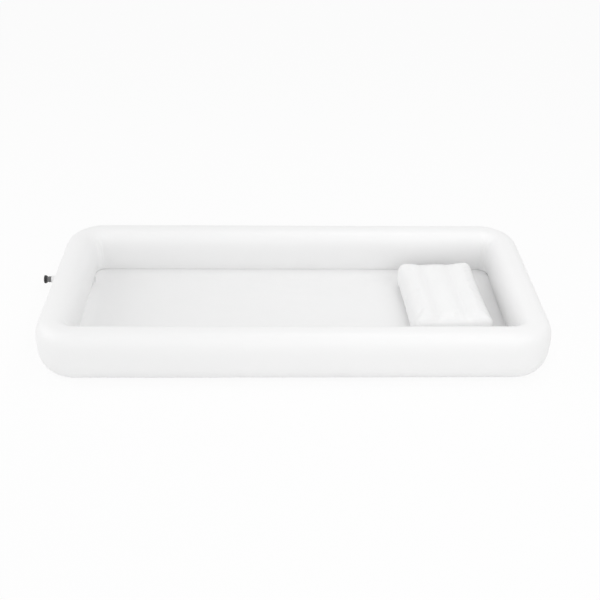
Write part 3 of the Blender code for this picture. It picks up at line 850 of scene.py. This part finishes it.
PILLOW_SEAT = Matrix.Translation(PILLOW_PLACE) @ Matrix.Rotation(PILLOW_TURN, 4, "Z")
STEM_HEIGHT = 0.052
STEM_RADIUS = 0.0045
STEM_DEPTH = 0.012
STEM_STEPS = 40
STEM_SEAT = PILLOW_SEAT @ seat_at((0, PILLOW_SIZE.y / 2, STEM_HEIGHT), (0, 1, 0))
pillow_data = pillow_mesh()
bmesh.ops.transform(pillow_data, matrix=PILLOW_SEAT, verts=pillow_data.verts)
stem_hole = rod(STEM_RADIUS + TOUCH_GAP, -STEM_DEPTH, CUT_OVERRUN, STEM_SEAT, STEM_STEPS)
pillow_data = carved(pillow_data, "DIFFERENCE", stem_hole)
pillow = finished(
    "pillow_film", pillow_data, HOME, PILLOW_FILM, "pillow", "pillow_film", "pillow_cushion"
)
print("pillow", len(pillow.data.polygons), "faces, box", [round(v, 3) for v in pillow.dimensions])

# %% [markdown]
# The drain is a short soft sleeve welded through the foot end of the ring, with a ring of film
# welded on the wall at each end of it. A grey moulded spout is pushed into the sleeve. It has two
# raised bands to hold it, and a coarse thread that the near-black cap screws on. All round parts are
# turned from their sections, and their edges get the small radius that a mould leaves. The thread is
# a groove pressed into the fine cells of the turned spigot.

# %% Drain
SLEEVE_WALL = 0.0020
SLEEVE_REACH = 0.053
PATCH_FILM = 0.0012
PATCH_RIM = 0.0105
PATCH_RINGS = 12
PATCH_RIM_LEFT = 0.04
PATCH_FLATNESS = 8
NECK_BORE_RADIUS = 0.0110
NECK_SEATED_RADIUS = 0.0132
NECK_SEATED_LENGTH = 0.024
NECK_WAIST_RADIUS = 0.0119
BAND_RADIUS = 0.0131
BAND_WIDTH = 0.0036
BAND_SPACING = 0.0072
BAND_COUNT = 2
SPIGOT_RADIUS = 0.0116
SPIGOT_LENGTH = 0.0115
SPIGOT_CELLS = 46
THREAD_PITCH = 0.0035
THREAD_DEPTH = 0.0007
THREAD_FADE = 0.0012
GASKET_FILM = 0.0015
GASKET_BORE_RADIUS = 0.0070
CAP_GRIP_RADIUS = 0.0175
CAP_SKIRT_RADIUS = 0.0145
CAP_GRIP_LENGTH = 0.0070
CAP_TOP = 0.0021
CAP_ENGAGED = 0.0070
GRIP_COUNT = 16
GRIP_DEPTH = 0.0009
CAP_DISH_RADIUS = 0.0125
CAP_DISH_DEPTH = 0.0005
SOFT_EDGE = 0.0004
MOULD_EDGE = 0.0003


def weld_ring(bore_radius, seat):
    """Ring of film laid on the ring's wall round a bore, thin towards its rim."""
    low, high = [], []
    for i in range(PATCH_RINGS + 1):
        share = i / PATCH_RINGS
        across = bore_radius + TOUCH_GAP + (PATCH_RIM - TOUCH_GAP) * share
        left = max(PATCH_RIM_LEFT, 1 - share**PATCH_FLATNESS)
        low.append((across, TOUCH_GAP))
        high.append((across, TOUCH_GAP + PATCH_FILM * math.sqrt(left)))
    mesh = turned(low + high[::-1])
    height = seat.translation.z
    for corner in mesh.verts:
        corner.co.z += half_width_at(height + corner.co.x) - RING_WIDTH / 2
    return softened(mesh, PATCH_FILM / 8)


def threaded(mesh, radius, low, high, pitch):
    """Press a helical groove into the fine cells of a turned wall of this radius."""
    for corner in mesh.verts:
        place = corner.co
        if abs(place.xy.length - radius) > MOULD_EDGE or not low <= place.z <= high:
            continue
        phase = math.atan2(place.y, place.x) / (2 * math.pi) - place.z / pitch
        wave = (1 - math.cos(2 * math.pi * phase)) / 2
        fade = eased((place.z - low) / THREAD_FADE) * eased((high - place.z) / THREAD_FADE)
        place.xy *= (radius - THREAD_DEPTH * wave * fade) / radius
    return mesh


def climbing(radius, low, high, cells):
    """Points straight up a turned wall, close enough together for a thread."""
    return [(radius, low + (high - low) * i / cells) for i in range(cells + 1)]


def neck():
    """Spout: seated end, raised bands, then the threaded spigot."""
    start = SLEEVE_REACH - NECK_SEATED_LENGTH
    points = [(NECK_BORE_RADIUS, start), (NECK_SEATED_RADIUS, start), (NECK_SEATED_RADIUS, SLEEVE_REACH)]
    for i in range(BAND_COUNT):
        low = SLEEVE_REACH + TOUCH_GAP + BAND_SPACING * i
        high = low + BAND_WIDTH
        crest = BAND_RADIUS - SOFT_EDGE
        points += [(NECK_WAIST_RADIUS, low), (crest, low), (BAND_RADIUS, low + SOFT_EDGE)]
        points += [(BAND_RADIUS, high - SOFT_EDGE), (crest, high), (NECK_WAIST_RADIUS, high)]
    shoulder = SLEEVE_REACH + BAND_SPACING * BAND_COUNT
    end = shoulder + SPIGOT_LENGTH
    points += [(NECK_WAIST_RADIUS, shoulder)] + climbing(SPIGOT_RADIUS, shoulder, end, SPIGOT_CELLS)
    points += [(SPIGOT_RADIUS - MOULD_EDGE, end + TOUCH_GAP / 2), (NECK_BORE_RADIUS, end + TOUCH_GAP / 2)]
    return threaded(turned(points), SPIGOT_RADIUS, shoulder, end, THREAD_PITCH), end


def gripped(mesh, over_radius):
    """Press finger grips into everything that lies further out than a radius."""
    for corner in mesh.verts:
        radius = corner.co.xy.length
        if radius > over_radius:
            angle = math.atan2(corner.co.y, corner.co.x)
            press = GRIP_DEPTH * ((1 - math.cos(GRIP_COUNT * angle)) / 2) ** 2
            corner.co.xy *= (radius - press) / radius
    return mesh


def screw_cap(neck_end):
    """Cap with a skirt over the spigot, a wide grip and a shallow dish in its end."""
    bore = SPIGOT_RADIUS + TOUCH_GAP
    mouth = neck_end - CAP_ENGAGED
    ceiling = neck_end + GASKET_FILM + 2 * TOUCH_GAP
    top = ceiling + CAP_TOP
    grip = top - CAP_GRIP_LENGTH
    profile = [
        (0, ceiling),
        (bore, ceiling),
        (bore, mouth),
        (CAP_SKIRT_RADIUS, mouth),
        (CAP_SKIRT_RADIUS, grip),
        (CAP_GRIP_RADIUS, grip),
        (CAP_GRIP_RADIUS, top),
        (CAP_DISH_RADIUS, top),
        (CAP_DISH_RADIUS - CAP_DISH_DEPTH, top - CAP_DISH_DEPTH),
        (0, top - CAP_DISH_DEPTH),
    ]
    mesh = softened(turned(profile, 2 * FINE_STEPS), MOULD_EDGE)
    return gripped(mesh, CAP_SKIRT_RADIUS + SOFT_EDGE)


def tube(inner, outer, low, high):
    return turned([(inner, low), (outer, low), (outer, high), (inner, high)])


sleeve_mesh = tube(SLEEVE_RADIUS - SLEEVE_WALL, SLEEVE_RADIUS, -RING_WIDTH, SLEEVE_REACH)
finished(
    "drain_sleeve_film", softened(sleeve_mesh, SOFT_EDGE), DRAIN_SEAT,
    PATCH_FILM_LOOK, "tub", "white_film", "drain_sleeve",
)
for name, seat in (("drain_outer_patch", DRAIN_SEAT), ("drain_inner_patch", BASIN_DRAIN_SEAT)):
    finished(
        name + "_film", weld_ring(SLEEVE_RADIUS, seat), seat,
        PATCH_FILM_LOOK, "tub", "white_film", name,
    )
neck_mesh, neck_end = neck()
finished("drain_spout", neck_mesh, DRAIN_SEAT, GREY_PLASTIC, "tub", "grey_plastic", "drain_neck")
washer = tube(GASKET_BORE_RADIUS, SPIGOT_RADIUS, neck_end + TOUCH_GAP, neck_end + TOUCH_GAP + GASKET_FILM)
washer = softened(washer, SOFT_EDGE)
finished("drain_washer", washer, DRAIN_SEAT, BLACK_RUBBER, "drain_seal", "black_rubber", "drain_gasket")
finished(
    "drain_screw_cap", screw_cap(neck_end), DRAIN_SEAT,
    BLACK_PLASTIC, "drain_cap", "black_plastic", "drain_cap",
)
print("drain spout ends", round(1000 * neck_end, 1), "mm outside the ring")

# %% [markdown]
# The air valve sits in the back wall near the head end, out of the photograph's sight. It is the
# usual two-part one: a socket welded to the film through a round patch, and a body that screws into
# it against an O-ring. Inside the body a milky flap lies on cross-bars and closes by itself. Outside,
# a ring with a tab holds a stopper cap on a thin moulded hinge. The hinge is a bead along the line
# that the stopper turns about, so it bridges the gap at every angle.

# %% Air valve
BASE_BORE_RADIUS = 0.0150
BASE_DEPTH = 0.022
BASE_LIP_RADIUS = 0.0220
BASE_LIP = 0.0026
BODY_WALL = 0.0030
BODY_DEPTH = 0.0195
BODY_HEAD_RADIUS = 0.0190
BODY_HEAD = 0.0030
BODY_CELLS = 60
BODY_PITCH = 0.005
SEAT_RADIUS = 0.0090
SEAT_LENGTH = 0.0025
BAR_WIDTH = 0.0016
SEAL_TUBE_RADIUS = 0.0010
SEAL_POINTS = 20
CAP_PLUG_LENGTH = 0.0050
CAP_PLUG_TAPER = 0.0006
CAP_HEAD = 0.0024
STRAP_WIDTH = 0.0100
STRAP_RING_WALL = 0.0030
STRAP_FILM = 0.0018
HINGE_REACH = 0.0030
FLAP_RADIUS = 0.0105
FLAP_FILM = 0.0010
FLAP_HINGE_REACH = 0.0015
FLAP_EAR_WIDTH = 0.0060
HINGE_FILM = 0.0005
HINGE_STEPS = 24


def tongue(start, end, width, low, high):
    """Flat tongue along X, from one distance off the valve's axis to another."""
    return box_mesh((start, -width / 2, low), (end, width / 2, high))


def strap_ring(bore_radius, wall, film, face, hinge_x, width, edge):
    """Ring that grips the valve below its face, with a tab to the stopper's hinge and the hinge."""
    band = tube(bore_radius, bore_radius + wall, face - film, face)
    tab = tongue(bore_radius + wall / 2, hinge_x - TOUCH_GAP, width, face - film, face)
    hinge_line = Matrix.Translation((hinge_x, 0, face)) @ Matrix.Rotation(math.pi / 2, 4, "X")
    bead = rod(HINGE_FILM, edge - width / 2, width / 2 - edge, hinge_line, HINGE_STEPS)
    return carved(softened(carved(band, "UNION", tab), edge), "UNION", bead)


def stopper(plug_radius, taper, plug_length, head_radius, head, face, hinge_x, width, edge):
    """Stopper with a tapered plug, a flat head, and an ear out to its hinge."""
    under = face + TOUCH_GAP
    profile = [
        (0, under - plug_length),
        (plug_radius - taper, under - plug_length),
        (plug_radius, under),
        (head_radius, under),
        (head_radius, under + head),
        (0, under + head),
    ]
    ear = tongue(head_radius - head, hinge_x - TOUCH_GAP, width, under, under + head)
    return softened(carved(turned(profile), "UNION", ear), edge)


def valve_flap(radius, film, face, hinge_reach, width, edge):
    """One-way flap on the inner end of a valve, with an ear up to its hinge line."""
    top = face - TOUCH_GAP
    disc = turned([(0, top - film), (radius, top - film), (radius, top), (0, top)])
    ear = tongue(radius - 2 * hinge_reach, radius + hinge_reach, width, top - film, top)
    return softened(carved(disc, "UNION", ear), edge)


lip = PATCH_FILM + 2 * TOUCH_GAP
rim = lip + BASE_LIP
socket_mesh = turned([
    (BASE_BORE_RADIUS, -BASE_DEPTH),
    (SOCKET_RADIUS, -BASE_DEPTH),
    (SOCKET_RADIUS, lip),
    (BASE_LIP_RADIUS, lip),
    (BASE_LIP_RADIUS, rim),
    (BASE_BORE_RADIUS, rim),
])
finished(
    "air_valve_socket", softened(socket_mesh, MOULD_EDGE), VALVE_SEAT,
    WHITE_PLASTIC, "tub", "white_plastic", "inflation_base",
)
finished(
    "air_valve_patch_film", weld_ring(SOCKET_RADIUS, VALVE_SEAT), VALVE_SEAT,
    PATCH_FILM_LOOK, "tub", "white_film", "inflation_patch",
)

outer = BASE_BORE_RADIUS - TOUCH_GAP
inner = outer - BODY_WALL
under = rim + 2 * SEAL_TUBE_RADIUS + 2 * TOUCH_GAP
face = under + BODY_HEAD
body_mesh = turned([
    (SEAT_RADIUS, -BODY_DEPTH),
    *climbing(outer, -BODY_DEPTH, 0, BODY_CELLS),
    (outer, under),
    (BODY_HEAD_RADIUS - MOULD_EDGE, under),
    (BODY_HEAD_RADIUS, under + MOULD_EDGE),
    (BODY_HEAD_RADIUS, face - MOULD_EDGE),
    (BODY_HEAD_RADIUS - MOULD_EDGE, face),
    (inner + MOULD_EDGE, face),
    (inner, face - MOULD_EDGE),
    (inner, SEAT_LENGTH - BODY_DEPTH),
    (SEAT_RADIUS, SEAT_LENGTH - BODY_DEPTH),
])
body_mesh = threaded(body_mesh, outer, -BODY_DEPTH, 0, BODY_PITCH)
half_bar = BAR_WIDTH / 2
reach = SEAT_RADIUS + half_bar
bars = [
    box_mesh((-x, -y, -BODY_DEPTH), (x, y, BAR_WIDTH - BODY_DEPTH))
    for x, y in ((half_bar, reach), (reach, half_bar))
]
body_mesh = carved(body_mesh, "UNION", *bars)
finished(
    "air_valve_body", body_mesh, VALVE_SEAT,
    WHITE_PLASTIC, "valve_insert", "white_plastic", "inflation_body",
)

seal_middle = rim + TOUCH_GAP + SEAL_TUBE_RADIUS
seal_points = []
for i in range(SEAL_POINTS):
    angle = 2 * math.pi * i / SEAL_POINTS
    across = outer + 2 * SEAL_TUBE_RADIUS + SEAL_TUBE_RADIUS * math.cos(angle)
    seal_points.append((across, seal_middle + SEAL_TUBE_RADIUS * math.sin(angle)))
finished(
    "air_valve_seal", turned(seal_points), VALVE_SEAT,
    BLACK_RUBBER, "valve_seal", "black_rubber", "inflation_seal",
)

strap_bore = BODY_HEAD_RADIUS + TOUCH_GAP
hinge_x = strap_bore + STRAP_RING_WALL + HINGE_REACH
strap_mesh = strap_ring(strap_bore, STRAP_RING_WALL, STRAP_FILM, face, hinge_x, STRAP_WIDTH, MOULD_EDGE)
finished(
    "air_valve_strap", strap_mesh, VALVE_SEAT,
    WHITE_PLASTIC, "valve_insert", "white_plastic", "inflation_strap",
)
cap_mesh = stopper(
    inner - TOUCH_GAP, CAP_PLUG_TAPER, CAP_PLUG_LENGTH, BODY_HEAD_RADIUS, CAP_HEAD,
    face, hinge_x, STRAP_WIDTH, MOULD_EDGE,
)
finished(
    "air_valve_stopper", cap_mesh, VALVE_SEAT,
    WHITE_PLASTIC, "valve_stopper", "white_plastic", "inflation_cap",
)
flap_mesh = valve_flap(
    FLAP_RADIUS, FLAP_FILM, -BODY_DEPTH, FLAP_HINGE_REACH, FLAP_EAR_WIDTH, FLAP_FILM / 4
)
finished(
    "air_valve_flap", flap_mesh, VALVE_SEAT,
    CLEAR_VINYL, "valve_flap", "clear_vinyl", "inflation_flap",
)
print("air valve stands", round(1000 * (face + CAP_HEAD), 1), "mm out of the wall")

# %% [markdown]
# The pillow has the small stem valve of every such air cushion: a soft clear tube with a flange,
# pushed in at its back end, with a flap inside and a plug on a strap. They are the same shapes as on
# the air valve, only smaller and of clear vinyl, so the same functions make them.

# %% Pillow valve
STEM_WALL = 0.0014
STEM_REACH = 0.016
STEM_FLANGE_RADIUS = 0.0085
STEM_FLANGE = 0.0010
PLUG_LENGTH = 0.0040
PLUG_TAPER = 0.0005
PLUG_HEAD_RADIUS = 0.0058
PLUG_HEAD = 0.0016
PLUG_STRAP_WIDTH = 0.0045
PLUG_STRAP_RING_WALL = 0.0016
PLUG_STRAP_FILM = 0.0014
PLUG_HINGE_REACH = 0.0016
STEM_FLAP_FILM = 0.0006
STEM_FLAP_HINGE_REACH = 0.0006
STEM_FLAP_EAR_WIDTH = 0.0024
SMALL_EDGE = 0.00018

bore = STEM_RADIUS - STEM_WALL
stem_mesh = turned([
    (bore, -STEM_DEPTH),
    (STEM_RADIUS, -STEM_DEPTH),
    (STEM_RADIUS, TOUCH_GAP),
    (STEM_FLANGE_RADIUS, TOUCH_GAP),
    (STEM_FLANGE_RADIUS, TOUCH_GAP + STEM_FLANGE),
    (STEM_RADIUS, TOUCH_GAP + STEM_FLANGE),
    (STEM_RADIUS, STEM_REACH),
    (bore, STEM_REACH),
])
plug_bore = STEM_RADIUS + TOUCH_GAP
plug_hinge_x = plug_bore + PLUG_STRAP_RING_WALL + PLUG_HINGE_REACH
small_pieces = (
    ("pillow_valve_stem", softened(stem_mesh, SMALL_EDGE), "pillow", "pillow_stem"),
    (
        "pillow_valve_strap",
        strap_ring(
            plug_bore, PLUG_STRAP_RING_WALL, PLUG_STRAP_FILM, STEM_REACH, plug_hinge_x,
            PLUG_STRAP_WIDTH, SMALL_EDGE,
        ),
        "pillow",
        "pillow_strap",
    ),
    (
        "pillow_valve_plug",
        stopper(
            bore - TOUCH_GAP, PLUG_TAPER, PLUG_LENGTH, PLUG_HEAD_RADIUS, PLUG_HEAD,
            STEM_REACH, plug_hinge_x, PLUG_STRAP_WIDTH, SMALL_EDGE,
        ),
        "pillow_plug",
        "pillow_plug",
    ),
    (
        "pillow_valve_flap",
        valve_flap(
            bore + STEM_WALL / 4, STEM_FLAP_FILM, -STEM_DEPTH, STEM_FLAP_HINGE_REACH,
            STEM_FLAP_EAR_WIDTH, SMALL_EDGE / 2,
        ),
        "pillow_flap",
        "pillow_flap",
    ),
)
for name, mesh, body, node in small_pieces:
    finished(name, mesh, STEM_SEAT, CLEAR_VINYL, body, "clear_vinyl", node)
print("pillow valve pieces", len(small_pieces))
